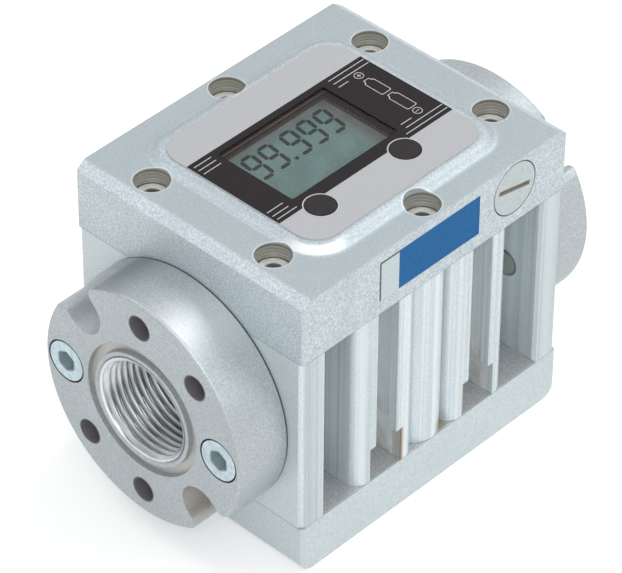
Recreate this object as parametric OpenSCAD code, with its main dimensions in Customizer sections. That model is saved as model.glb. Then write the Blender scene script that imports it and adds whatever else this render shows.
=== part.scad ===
// Digital flow meter for liquids: a ribbed extruded body between two screwed covers, a round
// threaded flange at each end, a pair of metering gears inside and a battery display in the lid.
// Origin at the middle of the block's underside. The flow runs along X, the battery cap and the
// label face -Y, and the display faces +Z.

/* [Block] */
// Length of the block along the flow, without the flanges
block_length = 108; // [100:1:130]
// Width of the block from front to back
block_width = 87.4; // [84:0.2:110]
// Height of the bottom cover
bottom_cover_height = 17; // [14:0.5:26]
// Height of the ribbed body
body_height = 61; // [50:1:80]
// Height of the top cover up to its flat top
top_cover_height = 22; // [21:0.5:30]
// Rounding of the covers' upright corners
cover_corner_round = 0.8; // [0.3:0.1:3]
// Bevel on the body's upright corners
body_corner_bevel = 1.6; // [0.5:0.1:3]
// Width of the slope along the top cover's two end edges
end_slope_width = 3.7; // [1:0.1:5]
// Height of that slope
end_slope_height = 2.5; // [1:0.1:5]
// Rounding under the two ends of the bottom cover
foot_round = 5; // [2:0.5:8]

/* [Extrusion] */
// Thickness of the body's two end walls
end_wall = 8.7; // [7:0.1:11]
// Width of the solid core between the pockets in the front and back faces
core_width = 56.4; // [54:0.2:60]
// Rounding in the pockets' back corners
pocket_round = 1.5; // [0.5:0.1:3]
// Distance of each T-slot from the middle of the block
slot_offset = 19.5; // [18:0.1:22]
// Width of a T-slot's mouth
slot_mouth = 8.4; // [6:0.1:9]
// Width of a T-slot's channel behind its lips
slot_channel = 12.9; // [11:0.1:14]
// Depth of a T-slot from the face
slot_depth = 10.3; // [8:0.1:12]
// Thickness of a T-slot's lips
slot_lip = 3; // [2:0.1:4]
// Height over which the lips are cut away above the bottom cover
lip_cut_height = 12.2; // [8:0.1:20]
// Thickness of the wall between a T-slot's channel and the pocket
outer_rib = 5.45; // [4:0.05:6]
// Rounding of the outer ribs' noses
rib_nose_round = 4.6; // [2:0.1:5]
// Flat width of the inner ribs beside the channel
inner_rib_flat = 1.75; // [1:0.05:3]
// Rounding of the inner ribs' shoulders
shoulder_round = 4; // [2:0.1:5]
// Radius of the rounded screw boss in the middle
boss_round = 8; // [7:0.1:9]

/* [Flanges] */
// Outer diameter of the flanges
flange_diameter = 76.5; // [74:0.5:80]
// Thickness of the flanges
flange_thickness = 19; // [16:0.5:24]
// Rounding of the flanges' rims
flange_rim_round = 1; // [0.5:0.1:2]
// Major diameter of the G1 pipe thread
thread_diameter = 33.25; // [30:0.05:36]
// Width of the bevel at the thread's mouth
thread_bevel = 0.6; // [0.3:0.1:1]
// Diameter of the bolt circle
bolt_circle = 60; // [58:0.5:62]
// Diameter of the plain flange holes, tapped M8
bolt_hole_diameter = 7.6; // [6.8:0.1:8.4]
// Depth of the plain flange holes
bolt_hole_depth = 15; // [10:0.5:15.5]
// Mean diameter of the face groove
face_groove_diameter = 39.7; // [38:0.1:42]
// Width of the face groove
face_groove_width = 2.9; // [2:0.1:3.2]
// Depth of the face groove
face_groove_depth = 2; // [1:0.1:3]
// Width of the two cut-outs in each rim
notch_width = 13.6; // [10:0.1:15]
// Radius from the flange's axis at which a cut-out's round end is centred
notch_reach = 31.7; // [31:0.1:33]
// Depth of the cut-outs from the outer face
notch_depth = 11.5; // [8:0.5:14]
// Rounding where a cut-out meets the rim
notch_mouth_round = 3; // [1:0.1:4]

/* [Fasteners] */
// Diameter of the cover screws' thread
cover_screw_diameter = 6; // [5:0.5:6]
// Diameter of the cover screws' heads
cover_head_diameter = 10; // [9:0.1:10.2]
// Height of the cover screws' heads
cover_head_height = 6; // [5:0.1:7]
// Hexagon size of the cover screws
cover_hex = 5; // [4:0.5:5]
// Length of the cover screws under the head
cover_screw_length = 20; // [18:1:24]
// Depth of the top screws' heads below the top cover's flat top
top_head_drop = 5.2; // [3:0.1:6]
// Depth of the bottom screws' heads above the underside
bottom_head_drop = 1; // [0.5:0.1:3]
// Distance of the corner screws from the block's ends
corner_screw_inset = 9.7; // [9:0.1:10]
// Distance of the corner screws from the front and back faces
corner_screw_margin = 20.35; // [19:0.05:22]
// Distance of the middle screws from the front and back faces
middle_screw_inset = 6.1; // [6:0.1:7]
// Depth of the tapped cover screw holes in the body
tapped_depth = 14; // [12:0.5:16]
// Diameter of the flange screws' thread
flange_screw_diameter = 8; // [7:0.5:8]
// Diameter of the flange screws' heads
flange_head_diameter = 12.9; // [12:0.1:13.3]
// Height of the flange screws' heads
flange_head_height = 8; // [6:0.1:9]
// Hexagon size of the flange screws
flange_hex = 6; // [5:0.5:6]
// Length of the flange screws under the head
flange_screw_length = 20; // [19:1:22]
// Clearance of the screw heads in their counterbores, on the radius
head_clearance = 0.35; // [0.2:0.05:0.4]
// Clearance of the screw shanks in their holes, on the radius
shank_clearance = 0.3; // [0.2:0.05:0.5]
// Depth of the hexagon sockets as a share of the head's height
socket_share = 0.5; // [0.3:0.05:0.7]

/* [Metering gears] */
// Wall between the gear chamber and the front and back faces
side_wall = 13.4; // [13.2:0.1:16]
// Pressure angle in degrees
pressure_angle = 25; // [24:0.5:26]
// Backlash between the teeth, on the pitch circle
backlash = 0.3; // [0.2:0.05:0.5]
// Gap between a tooth's tip and the other gear's root
root_gap = 0.5; // [0.4:0.05:0.8]
// Running gap between the gears and the chamber, around and at both ends
chamber_gap = 0.3; // [0.2:0.05:0.5]
// Diameter of the gear pins as a share of the gears' root circle
pin_share = 0.372; // [0.3:0.001:0.4]
// Running clearance of the bushes on the pins, on the radius
pin_clearance = 0.05; // [0.02:0.01:0.08]
// Wall of the gear bushes as a share of the gears' root radius
bush_share = 0.223; // [0.15:0.001:0.24]
// Depth to which the pins reach into the covers
pin_seat = 6; // [4:0.5:6]
// Diameter of the flow passage through the body's end walls
passage_diameter = 26; // [20:0.5:27]
// Diameter of the magnets as a share of the wall between the bush and the tooth roots
magnet_share = 0.6; // [0.4:0.05:0.65]
// Height of the magnets
magnet_height = 2.5; // [2:0.1:4]

/* [Seals] */
// Width of the cover seals
cover_seal_width = 2; // [1.5:0.1:2.2]
// Height of the cover seals
cover_seal_height = 2; // [1.5:0.1:2.5]
// Wall left between the chamber and the cover seals
cover_seal_wall = 1.4; // [1.2:0.1:1.6]
// Thickness of the flange seals' cord
flange_seal_cord = 2.4; // [2:0.1:2.6]
// Mean diameter of the flange seals
flange_seal_diameter = 39; // [38:0.5:42]
// Side gap of the seals in their grooves
seal_gap = 0.2; // [0.1:0.05:0.3]

/* [Display] */
// Distance of the raised pad's flat top from the two ends of the block
pad_end_margin = 18.25; // [16:0.05:18.4]
// Distance of the pad's flat top from the front and back faces
pad_side_margin = 12.15; // [10.8:0.05:12.2]
// Rounding of the pad's corners at its flat top
pad_round = 7; // [5:0.5:9]
// Height of the raised pad
pad_rise = 1.6; // [1:0.1:3]
// Width of the curved skirt around the pad
pad_skirt = 5.4; // [3:0.1:6]
// Edge of the pad left free around the printed overlay
overlay_edge = 0.4; // [0.2:0.1:1]
// Rounding of the overlay's corners
overlay_round = 8; // [5:0.5:9]
// Thickness of the printed overlay
overlay_thickness = 0.4; // [0.3:0.05:0.6]
// Distance of the window from the overlay's inlet end
window_inlet_margin = 10.15; // [9.5:0.05:14]
// Distance of the window from the overlay's outlet end
window_outlet_margin = 17.85; // [16:0.05:20]
// Distance of the window from the overlay's front edge
window_front_margin = 18.85; // [18.5:0.05:22]
// Distance of the window from the overlay's back edge
window_back_margin = 14.65; // [13:0.05:18]
// Depth of the liquid crystal glass below the overlay
glass_drop = 4.6; // [4:0.1:5.5]
// Thickness of the clear window
clear_thickness = 1.2; // [0.8:0.1:1.5]
// Width by which the clear window and the display module lap under the opening's edge
window_lap = 1; // [0.5:0.1:1.5]
// Distance of the pocket for the electronics from the block's inlet end
electronics_end_margin = 20.5; // [20:0.1:21]
// Distance of that pocket from the front and back faces
electronics_side_margin = 15.2; // [14.5:0.1:16]
// Wall between that pocket and the battery tube
electronics_wall = 1.3; // [1:0.1:2]
// Thickness of the top cover left under that pocket
electronics_floor_thickness = 8; // [7.5:0.5:9]
// Rounding of the pocket's corners
electronics_round = 3; // [2:0.5:5]
// Fitting gap around the circuit board and the display frame
fitting_gap = 0.25; // [0.15:0.05:0.4]
// Thickness of the circuit board
board_thickness = 1.6; // [1.2:0.1:1.8]
// Height of the liquid crystal module
module_height = 4.8; // [4:0.1:5.4]
// Diameter of the posts under the circuit board
post_diameter = 6; // [5:0.5:6.5]
// Diameter of the board screws
board_screw_diameter = 2.5; // [2:0.1:3]
// Length of the board screws under the head
board_screw_length = 5; // [4:0.5:5]

/* [Buttons] */
// Diameter of the buttons
button_diameter = 9.2; // [8:0.1:10]
// Height by which the buttons stand above the overlay
button_rise = 0.15; // [0:0.05:0.5]
// Travel of the buttons
button_travel = 0.5; // [0.3:0.05:0.5]
// Gap around the buttons
button_gap = 0.15; // [0.1:0.05:0.2]
// Distance of the reset button from the window's inlet end
reset_inset = 3.5; // [2:0.1:5]
// Distance of the calibration button from the window's outlet end
calibration_inset = 4.9; // [4:0.1:6]
// Distance of both buttons from the overlay's front edge
button_margin = 11.55; // [11:0.05:12]
// Width by which each button's collar stands out
collar_width = 1; // [0.5:0.1:1.2]
// Height of each button's collar
collar_height = 1.3; // [1:0.1:1.4]
// Side of the square switches
switch_side = 6; // [5:0.1:6.2]
// Height of the switches' cases
switch_case_height = 3.4; // [3:0.1:3.6]
// Height of the switches' plungers above their cases
plunger_height = 0.7; // [0.5:0.05:0.8]
// Diameter of the switches' plungers
plunger_diameter = 3.4; // [3:0.1:3.6]

/* [Batteries] */
// Diameter of a size N cell
cell_diameter = 12; // [11:0.1:12]
// Wall behind the battery tube, which leaves two size N cells of 30.2 their length
battery_back_wall = 11.5; // [11:0.5:14]
// Distance of the battery tube from the corner screws, along the block
battery_inset = 12.3; // [12.1:0.1:12.5]
// Depth of the battery tube's axis below the top cover's flat top
battery_drop = 9.7; // [9.5:0.1:10]
// Gap around the cells
cell_gap = 0.2; // [0.1:0.05:0.25]
// Diameter of the battery cap's head
cap_diameter = 16.9; // [16:0.1:17.2]
// Gap around the battery cap's head
cap_gap = 0.3; // [0.2:0.05:0.4]
// Thickness of the battery cap's head
cap_head = 3; // [2.5:0.1:4]
// Diameter of the battery cap's thread
cap_thread_diameter = 14.9; // [14:0.1:15]
// Clearance of the battery cap's thread, on the radius
cap_thread_clearance = 0.05; // [0.03:0.01:0.08]
// Length of the battery cap's thread
cap_thread_length = 8; // [6:0.5:9]
// Length of the coin slot
coin_slot_length = 13.3; // [10:0.1:14]
// Width of the coin slot
coin_slot_width = 1.6; // [1:0.1:2]
// Depth of the coin slot
coin_slot_depth = 1.5; // [1:0.1:1.8]
// Angle of the coin slot to the level, in degrees
coin_slot_angle = 12; // [-90:1:90]
// Thickness of the battery cap's seal
cap_seal_thickness = 1.2; // [1:0.1:1.5]
// Length of the contact spring when the cap is closed
contact_spring_length = 4; // [3:0.1:5]
// Thickness of the battery contact
contact_thickness = 0.5; // [0.3:0.05:0.8]

/* [Label] */
// Length of the printed label on the front
label_length = 40.7; // [30:0.1:44]
// Height of the printed label
label_height = 13.5; // [8:0.1:16]
// Place of the label's middle along the block
label_x = -3.15; // [-6:0.05:0]
// Depth of the label's middle below the top cover's flat top
label_drop = 10.55; // [9:0.05:12]
// Thickness of the label
label_thickness = 0.1; // [0.05:0.05:0.2]

/* [Hidden] */
$fn = 96;
small_fn = 48;
// Overrun of every cut past the face that it opens
over = 1;
half_length = block_length / 2;
half_width = block_width / 2;
body_base = bottom_cover_height;
lid_base = body_base + body_height;
lid_top = lid_base + top_cover_height;
pocket_depth = half_width - core_width / 2;
pad_top = lid_top + pad_rise;
overlay_top = pad_top + overlay_thickness;
flow_height = body_base + body_height / 2;
thread_radius = thread_diameter / 2;
notch_angle = 45;

// Plan places of the cover screws
corner_screw_x = half_length - corner_screw_inset;
corner_screw_y = half_width - corner_screw_margin;
middle_screw_y = half_width - middle_screw_inset;
cover_screw_places = [
    [-corner_screw_x, -corner_screw_y],
    [-corner_screw_x, corner_screw_y],
    [corner_screw_x, -corner_screw_y],
    [corner_screw_x, corner_screw_y],
    [0, -middle_screw_y],
    [0, middle_screw_y]
];

// Gears: number of teeth, the module that fills the block's width, pitch, base, tip and root
// radii, and the chamber that they turn in
gear_teeth = 11;
gear_module = (half_width - side_wall - chamber_gap) / (gear_teeth + 1);
pitch_radius = gear_module * gear_teeth / 2;
base_radius = pitch_radius * cos(pressure_angle);
tip_radius = pitch_radius + gear_module;
root_radius = pitch_radius - gear_module - root_gap;
chamber_radius = tip_radius + chamber_gap;
pin_radius = root_radius * pin_share;
bush_bore_radius = pin_radius + pin_clearance;
bush_radius = bush_bore_radius + root_radius * bush_share;
gear_height = body_height - 2 * chamber_gap;
gear_base = body_base + chamber_gap;
magnet_orbit = (bush_radius + root_radius) / 2;
magnet_diameter = (root_radius - bush_radius) * magnet_share;

// Seal outlines around the chamber
seal_inner_radius = chamber_radius + cover_seal_wall;
seal_outer_radius = seal_inner_radius + cover_seal_width;

// Plan of the display: pad, overlay and window
pad_length = block_length - 2 * pad_end_margin;
pad_width = block_width - 2 * pad_side_margin;
overlay_length = pad_length - 2 * overlay_edge;
overlay_width = pad_width - 2 * overlay_edge;
window_length = overlay_length - window_inlet_margin - window_outlet_margin;
window_width = overlay_width - window_front_margin - window_back_margin;
window_x = (window_inlet_margin - window_outlet_margin) / 2;
window_y = (window_front_margin - window_back_margin) / 2;

// Plan of the battery tube and of the pocket beside it
tube_radius = cell_diameter / 2 + cell_gap;
battery_x = corner_screw_x - battery_inset;
electronics_start = -half_length + electronics_end_margin;
electronics_end = battery_x - tube_radius - electronics_wall;
electronics_length = electronics_end - electronics_start;
electronics_x = (electronics_start + electronics_end) / 2;
electronics_width = block_width - 2 * electronics_side_margin;

// Heights of the electronics, stacked down from the overlay
glass_face = overlay_top - glass_drop;
board_top = glass_face - module_height;
board_base = board_top - board_thickness;
electronics_floor = lid_base + electronics_floor_thickness;
electronics_depth = lid_top - electronics_floor;
frame_base = glass_face;
clear_base = pad_top - clear_thickness;
board_length = electronics_length - 2 * fitting_gap;
board_width = electronics_width - 2 * fitting_gap;
post_inset = post_diameter / 2 + electronics_round / 2;
post_x = electronics_length / 2 - post_inset;
post_y = electronics_width / 2 - post_inset;
board_head_share = 0.6;
board_head_height = board_screw_diameter * board_head_share;
sensor_radius = 2.3;
sensor_height = 4;
sensor_gap = 0.2;
sensor_floor = 2.5;
sensor_lead_radius = 0.25;
sensor_lead_pitch = 1.3;
sensor_base = lid_base + sensor_floor;

// Buttons, from the overlay down to the switches
button_radius = button_diameter / 2;
button_top = overlay_top + button_rise;
collar_radius = button_radius + collar_width;
switch_case_top = board_top + switch_case_height;
plunger_top = switch_case_top + plunger_height;
collar_base = plunger_top + button_travel + 2 * button_gap;
stem_base = plunger_top + button_travel + button_gap;
collar_top = collar_base + collar_height;
stem_radius = plunger_diameter / 2;
reset_x = window_x - window_length / 2 + reset_inset;
calibration_x = window_x + window_length / 2 - calibration_inset;
button_y = -overlay_width / 2 + button_margin;
button_positions = [reset_x, calibration_x];

// Battery tube, from the front face inwards
battery_z = lid_top - battery_drop;
cap_radius = cap_diameter / 2;
cap_recess_radius = cap_radius + cap_gap;
cap_thread_radius = cap_thread_diameter / 2;
cap_seat_y = -half_width + cap_head + cap_seal_thickness;
cap_end_y = -half_width + cap_head + cap_thread_length;
thread_end_y = cap_end_y + contact_spring_length / 2;
front_cell_y = cap_end_y + contact_spring_length;
cell_length = (half_width - battery_back_wall - contact_thickness - front_cell_y) / 2;
rear_cell_y = front_cell_y + cell_length;
contact_y = rear_cell_y + cell_length;
tube_end_y = contact_y + contact_thickness;
cell_bevel = 0.6;
cell_tip_radius = 2.6;
cell_tip_height = 1;

// The contact spring: turns and the wire, wound as a cone
spring_wire_radius = 0.35;
spring_turns = 3;
spring_steps = 14;
spring_sides = 6;
spring_large_radius = 5;
spring_small_radius = 2.6;

// Both mirror images of a shape
module both_ends() {
    children();
    mirror([1, 0, 0]) children();
}
module both_sides() {
    children();
    mirror([0, 1, 0]) children();
}

// A rectangle with round corners, centred
module rounded_rect(length, width, round) {
    difference() {
        square([length, width], center = true);
        both_ends() both_sides() translate([length / 2 - round, width / 2 - round])
            difference() {
                square(round + over);
                circle(r = round);
            }
    }
}

// The outline of the two gear bores joined by straight sides, grown to the given radius
module chamber_outline(radius) {
    rounded_rect(2 * radius, 2 * (pitch_radius + radius), radius);
}

// A ring around the chamber
module chamber_ring(inner, outer) {
    difference() {
        chamber_outline(outer);
        chamber_outline(inner);
    }
}

// A socket screw with its shank along +Z from the origin and its head below
module socket_screw(thread_d, length, head_d, head_h, hex) {
    difference() {
        translate([0, 0, -head_h]) cylinder(d = head_d, h = head_h, $fn = small_fn);
        translate([0, 0, -head_h - over])
            cylinder(d = hex / cos(30), h = over + head_h * socket_share, $fn = 6);
    }
    cylinder(d = thread_d, h = length, $fn = small_fn);
}

// Extrusion profile, one quarter: what the front right of the body is cut by
module quarter_cuts() {
    channel_inner = slot_offset - slot_channel / 2;
    pocket_inner = slot_offset + slot_channel / 2 + outer_rib;
    pocket_outer = half_length - end_wall;
    nose = rib_nose_round;
    shoulder_x = channel_inner - inner_rib_flat;
    // Open pocket
    pocket_run = pocket_depth + over + pocket_round;
    translate([(pocket_inner + pocket_outer) / 2, -half_width + pocket_depth - pocket_run / 2])
        rounded_rect(pocket_outer - pocket_inner, pocket_run, pocket_round);
    // Round nose of the outer rib
    difference() {
        translate([pocket_inner - nose, -half_width - over]) square([nose + over, nose + over]);
        translate([pocket_inner - nose, -half_width + nose]) circle(r = nose);
    }
    // T-slot mouth and channel
    translate([slot_offset - slot_mouth / 2, -half_width - over])
        square([slot_mouth, slot_lip + 2 * over]);
    translate([slot_offset, -half_width + (slot_lip + slot_depth) / 2])
        rounded_rect(slot_channel, slot_depth - slot_lip, pocket_round / 2);
    // Groove between the round screw boss and the inner rib's shoulder
    difference() {
        translate([0, -half_width - over]) square([shoulder_x, shoulder_round + over]);
        translate([0, -half_width + boss_round]) circle(r = boss_round);
        translate([shoulder_x, -half_width + shoulder_round]) circle(r = shoulder_round);
    }
}

// Extrusion profile of the whole body
module body_profile() {
    bevel = body_corner_bevel;
    difference() {
        polygon([
            [-half_length + bevel, -half_width], [half_length - bevel, -half_width],
            [half_length, -half_width + bevel], [half_length, half_width - bevel],
            [half_length - bevel, half_width], [-half_length + bevel, half_width],
            [-half_length, half_width - bevel], [-half_length, -half_width + bevel]
        ]);
        both_ends() both_sides() quarter_cuts();
        // The two bores that the gears turn in
        both_sides() translate([0, pitch_radius]) circle(r = chamber_radius);
    }
}

module meter_body() {
    color([0.78, 0.82, 0.83])
    difference() {
        translate([0, 0, body_base]) linear_extrude(body_height) body_profile();
        // Lips cut away at the foot of each T-slot
        both_ends() both_sides()
            translate([slot_offset - slot_channel / 2, -half_width - over, body_base - over])
                cube([slot_channel, slot_lip + 2 * over, lip_cut_height + over]);
        // Flow passage
        translate([-half_length - over, 0, flow_height]) rotate([0, 90, 0])
            cylinder(d = passage_diameter, h = block_length + 2 * over);
        // Tapped holes for the cover screws
        for (place = cover_screw_places) {
            translate([place.x, place.y, lid_base - tapped_depth])
                cylinder(d = cover_screw_diameter, h = tapped_depth + over, $fn = small_fn);
            translate([place.x, place.y, body_base - over])
                cylinder(d = cover_screw_diameter, h = tapped_depth + over, $fn = small_fn);
        }
        // Tapped holes for the flange screws
        both_ends() both_sides()
            translate([-half_length - over, -bolt_circle / 2, flow_height]) rotate([0, 90, 0])
                cylinder(d = flange_screw_diameter, h = end_wall + 3 * over, $fn = small_fn);
    }
}

// Cross-section of the pad's skirt: two equal arcs, hollow at the foot and round at the top
function skirt_radius() = (pad_skirt * pad_skirt + pad_rise * pad_rise) / (4 * pad_rise);
skirt_steps = 5;
function skirt_points() =
    let (r = skirt_radius(), sweep = asin(pad_skirt / 2 / r))
    concat(
        [for (i = [0 : skirt_steps])
            [pad_skirt - r * sin(sweep * i / skirt_steps), r - r * cos(sweep * i / skirt_steps)]],
        [for (i = [skirt_steps - 1 : -1 : 0])
            [r * sin(sweep * i / skirt_steps), pad_rise - r + r * cos(sweep * i / skirt_steps)]]
    );

// The raised pad under the overlay
module display_pad() {
    flat_x = pad_length / 2 - pad_round;
    flat_y = pad_width / 2 - pad_round;
    linear_extrude(pad_rise) rounded_rect(pad_length, pad_width, pad_round);
    edge = concat([[0, 0]], skirt_points());
    // Corners
    both_ends() both_sides() translate([flat_x, flat_y])
        rotate_extrude() polygon(concat([[0, 0]],
            [for (p = skirt_points()) [p.x + pad_round, p.y]], [[0, pad_rise]]));
    // Straight runs
    both_ends() translate([pad_length / 2, flat_y, 0]) rotate([90, 0, 0])
        linear_extrude(2 * flat_y) polygon(edge);
    both_sides() translate([-flat_x, pad_width / 2, 0]) rotate([90, 0, 90])
        linear_extrude(2 * flat_x) polygon(edge);
}

module top_cover() {
    color([0.74, 0.78, 0.8])
    difference() {
        union() {
            intersection() {
                translate([0, 0, lid_base]) linear_extrude(top_cover_height)
                    rounded_rect(block_length, block_width, cover_corner_round);
                // End view with the sloped top edges
                translate([0, half_width + over, 0]) rotate([90, 0, 0])
                    linear_extrude(block_width + 2 * over) polygon([
                        [-half_length - over, lid_base], [half_length + over, lid_base],
                        [half_length + over, lid_top - end_slope_height],
                        [half_length, lid_top - end_slope_height],
                        [half_length - end_slope_width, lid_top],
                        [-half_length + end_slope_width, lid_top],
                        [-half_length, lid_top - end_slope_height],
                        [-half_length - over, lid_top - end_slope_height]
                    ]);
            }
            translate([0, 0, lid_top]) display_pad();
        }
        // Screw holes and their counterbores
        for (place = cover_screw_places) translate([place.x, place.y, lid_base - over]) {
            cylinder(r = cover_screw_diameter / 2 + shank_clearance, h = lid_top, $fn = small_fn);
            translate([0, 0, over + top_cover_height - top_head_drop - cover_head_height])
                cylinder(r = cover_head_diameter / 2 + head_clearance, h = lid_top,
                    $fn = small_fn);
        }
        // Groove for the seal and seats for the gear pins
        translate([0, 0, lid_base - over]) linear_extrude(cover_seal_height + over)
            chamber_ring(seal_inner_radius - seal_gap, seal_outer_radius + seal_gap);
        both_sides() translate([0, pitch_radius, lid_base - over])
            cylinder(r = bush_bore_radius, h = pin_seat + over, $fn = small_fn);
        // Pocket for the electronics, with posts left standing
        difference() {
            translate([electronics_x, 0, electronics_floor])
                linear_extrude(electronics_depth + pad_rise + over)
                    rounded_rect(electronics_length, electronics_width, electronics_round);
            board_posts();
        }
        for (place = board_post_places()) translate([place.x, place.y, board_base - post_bore()])
            cylinder(d = board_screw_diameter, h = post_bore() + over, $fn = small_fn);
        // Well for the pulse sensor, close above the front gear
        translate([magnet_orbit, -pitch_radius, sensor_base])
            cylinder(r = sensor_radius + sensor_gap, h = electronics_depth, $fn = small_fn);
        // Battery tube, thread and recess for the cap
        translate([battery_x, -half_width - over, battery_z]) rotate([-90, 0, 0]) {
            cylinder(r = tube_radius, h = tube_end_y + half_width + over);
            cylinder(r = cap_thread_radius + cap_thread_clearance,
                h = thread_end_y + half_width + over);
            cylinder(r = cap_recess_radius, h = cap_seat_y + half_width + over);
        }
    }
}

function board_post_places() = [
    for (sx = [-1, 1], sy = [-1, 1]) [electronics_x + sx * post_x, sy * post_y]
];
function post_bore() = board_screw_length - board_thickness + sensor_gap;

// Posts that carry the circuit board
module board_posts() {
    for (place = board_post_places())
        translate([place.x, place.y, electronics_floor - over])
            cylinder(d = post_diameter, h = board_base - electronics_floor + over,
                $fn = small_fn);
}

module bottom_cover() {
    color([0.76, 0.8, 0.81])
    difference() {
        intersection() {
            linear_extrude(bottom_cover_height)
                rounded_rect(block_length, block_width, cover_corner_round);
            // End view with the rounded lower edges
            translate([0, half_width + over, 0]) rotate([90, 0, 0])
                linear_extrude(block_width + 2 * over) difference() {
                    translate([-half_length - over, 0])
                        square([block_length + 2 * over, bottom_cover_height]);
                    both_ends() translate([half_length - foot_round, foot_round])
                        difference() {
                            mirror([0, 1]) square(foot_round + 2 * over);
                            circle(r = foot_round);
                        }
                }
        }
        for (place = cover_screw_places) translate([place.x, place.y, -over]) {
            cylinder(r = cover_screw_diameter / 2 + shank_clearance,
                h = bottom_cover_height + 2 * over, $fn = small_fn);
            cylinder(r = cover_head_diameter / 2 + head_clearance,
                h = over + bottom_head_drop + cover_head_height, $fn = small_fn);
        }
        translate([0, 0, body_base - cover_seal_height])
            linear_extrude(cover_seal_height + over)
                chamber_ring(seal_inner_radius - seal_gap, seal_outer_radius + seal_gap);
        both_sides() translate([0, pitch_radius, body_base - pin_seat])
            cylinder(r = pin_radius, h = pin_seat + over, $fn = small_fn);
    }
}

// Cut-out in a flange's rim, drawn with its open side towards +Y
module notch_outline() {
    half = notch_width / 2;
    rim = flange_diameter / 2;
    mouth = notch_mouth_round;
    mouth_x = half + mouth;
    mouth_y = sqrt((rim - mouth) * (rim - mouth) - mouth_x * mouth_x);
    meet = rim / (rim - mouth);
    translate([0, notch_reach]) circle(r = half, $fn = small_fn);
    translate([-half, notch_reach]) square([notch_width, rim - notch_reach + over]);
    both_ends() difference() {
        polygon([
            [0, mouth_y], [mouth_x, mouth_y], [mouth_x * meet, mouth_y * meet],
            [mouth_x * meet, rim + over], [0, rim + over]
        ]);
        translate([mouth_x, mouth_y]) circle(r = mouth, $fn = small_fn);
    }
}

// A flange with its outer face at the origin, looking along -Z, and its body along +Z
module flange() {
    rim = flange_diameter / 2;
    round = flange_rim_round;
    difference() {
        rotate_extrude($fn = 180) union() {
            translate([0, round]) square([rim, flange_thickness - round]);
            square([rim - round, flange_thickness]);
            translate([rim - round, round]) circle(r = round, $fn = small_fn);
        }
        // Pipe thread at its major diameter, bevelled at the mouth
        translate([0, 0, -over]) cylinder(r = thread_radius, h = flange_thickness + 2 * over);
        rotate_extrude() polygon([
            [0, -over], [thread_radius + thread_bevel + over, -over],
            [thread_radius - over, thread_bevel + over], [0, thread_bevel + over]
        ]);
        // Face groove
        rotate_extrude() translate([(face_groove_diameter - face_groove_width) / 2, -over])
            square([face_groove_width, face_groove_depth + over]);
        // Groove for the seal against the body
        rotate_extrude() translate([(flange_seal_diameter - flange_seal_cord) / 2 - seal_gap,
                flange_thickness - flange_seal_cord])
            square([flange_seal_cord + 2 * seal_gap, flange_seal_cord + over]);
        // Screw holes with counterbores, on the level line
        both_sides() translate([0, bolt_circle / 2, -over]) {
            cylinder(r = flange_screw_diameter / 2 + shank_clearance,
                h = flange_thickness + 2 * over, $fn = small_fn);
            cylinder(r = flange_head_diameter / 2 + head_clearance,
                h = flange_head_height + over, $fn = small_fn);
        }
        // Holes for the customer's bolts, upright and on one diagonal
        for (turn = [0, 180, 90 - notch_angle, 270 - notch_angle]) rotate([0, 0, turn])
            translate([bolt_circle / 2, 0, -over])
                cylinder(d = bolt_hole_diameter, h = bolt_hole_depth + over, $fn = small_fn);
        // Cut-outs on the other diagonal
        for (turn = [notch_angle, notch_angle + 180]) rotate([0, 0, turn])
            translate([0, 0, -over]) linear_extrude(notch_depth + over) notch_outline();
    }
}

// Places a shape drawn for the inlet at the inlet: its +Z becomes +X and its +X becomes -Z
module at_inlet() {
    translate([-half_length - flange_thickness, 0, flow_height]) rotate([0, 90, 0]) children();
}

// The same at the outlet, half a turn round the upright axis
module at_outlet() {
    rotate([0, 0, 180]) at_inlet() children();
}

module inlet_flange() {
    color([0.72, 0.76, 0.77]) at_inlet() flange();
}

module outlet_flange() {
    color([0.72, 0.76, 0.77]) at_outlet() flange();
}

// The two screws that hold a flange
module flange_screws() {
    both_sides() translate([0, bolt_circle / 2, flange_head_height])
        socket_screw(flange_screw_diameter, flange_screw_length, flange_head_diameter,
            flange_head_height, flange_hex);
}

module inlet_flange_screws() {
    color([0.82, 0.88, 0.91]) at_inlet() flange_screws();
}

module outlet_flange_screws() {
    color([0.82, 0.88, 0.91]) at_outlet() flange_screws();
}

module cover_screw() {
    socket_screw(cover_screw_diameter, cover_screw_length, cover_head_diameter,
        cover_head_height, cover_hex);
}

module top_cover_screws() {
    color([0.85, 0.87, 0.86])
    for (place = cover_screw_places)
        translate([place.x, place.y, lid_top - top_head_drop - cover_head_height])
            rotate([180, 0, 0]) cover_screw();
}

module bottom_cover_screws() {
    color([0.85, 0.87, 0.86])
    for (place = cover_screw_places)
        translate([place.x, place.y, bottom_head_drop + cover_head_height]) cover_screw();
}

module top_seal() {
    color([0.1, 0.1, 0.1]) translate([0, 0, lid_base]) linear_extrude(cover_seal_height)
        chamber_ring(seal_inner_radius, seal_outer_radius);
}

module bottom_seal() {
    color([0.1, 0.1, 0.1]) translate([0, 0, body_base - cover_seal_height])
        linear_extrude(cover_seal_height) chamber_ring(seal_inner_radius, seal_outer_radius);
}

// The round seal between a flange and the body
module flange_seal() {
    translate([0, 0, flange_thickness - flange_seal_cord / 2]) rotate_extrude()
        translate([flange_seal_diameter / 2, 0]) circle(d = flange_seal_cord, $fn = small_fn);
}

module inlet_seal() {
    color([0.1, 0.1, 0.1]) at_inlet() flange_seal();
}

module outlet_seal() {
    color([0.1, 0.1, 0.1]) at_outlet() flange_seal();
}

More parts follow.
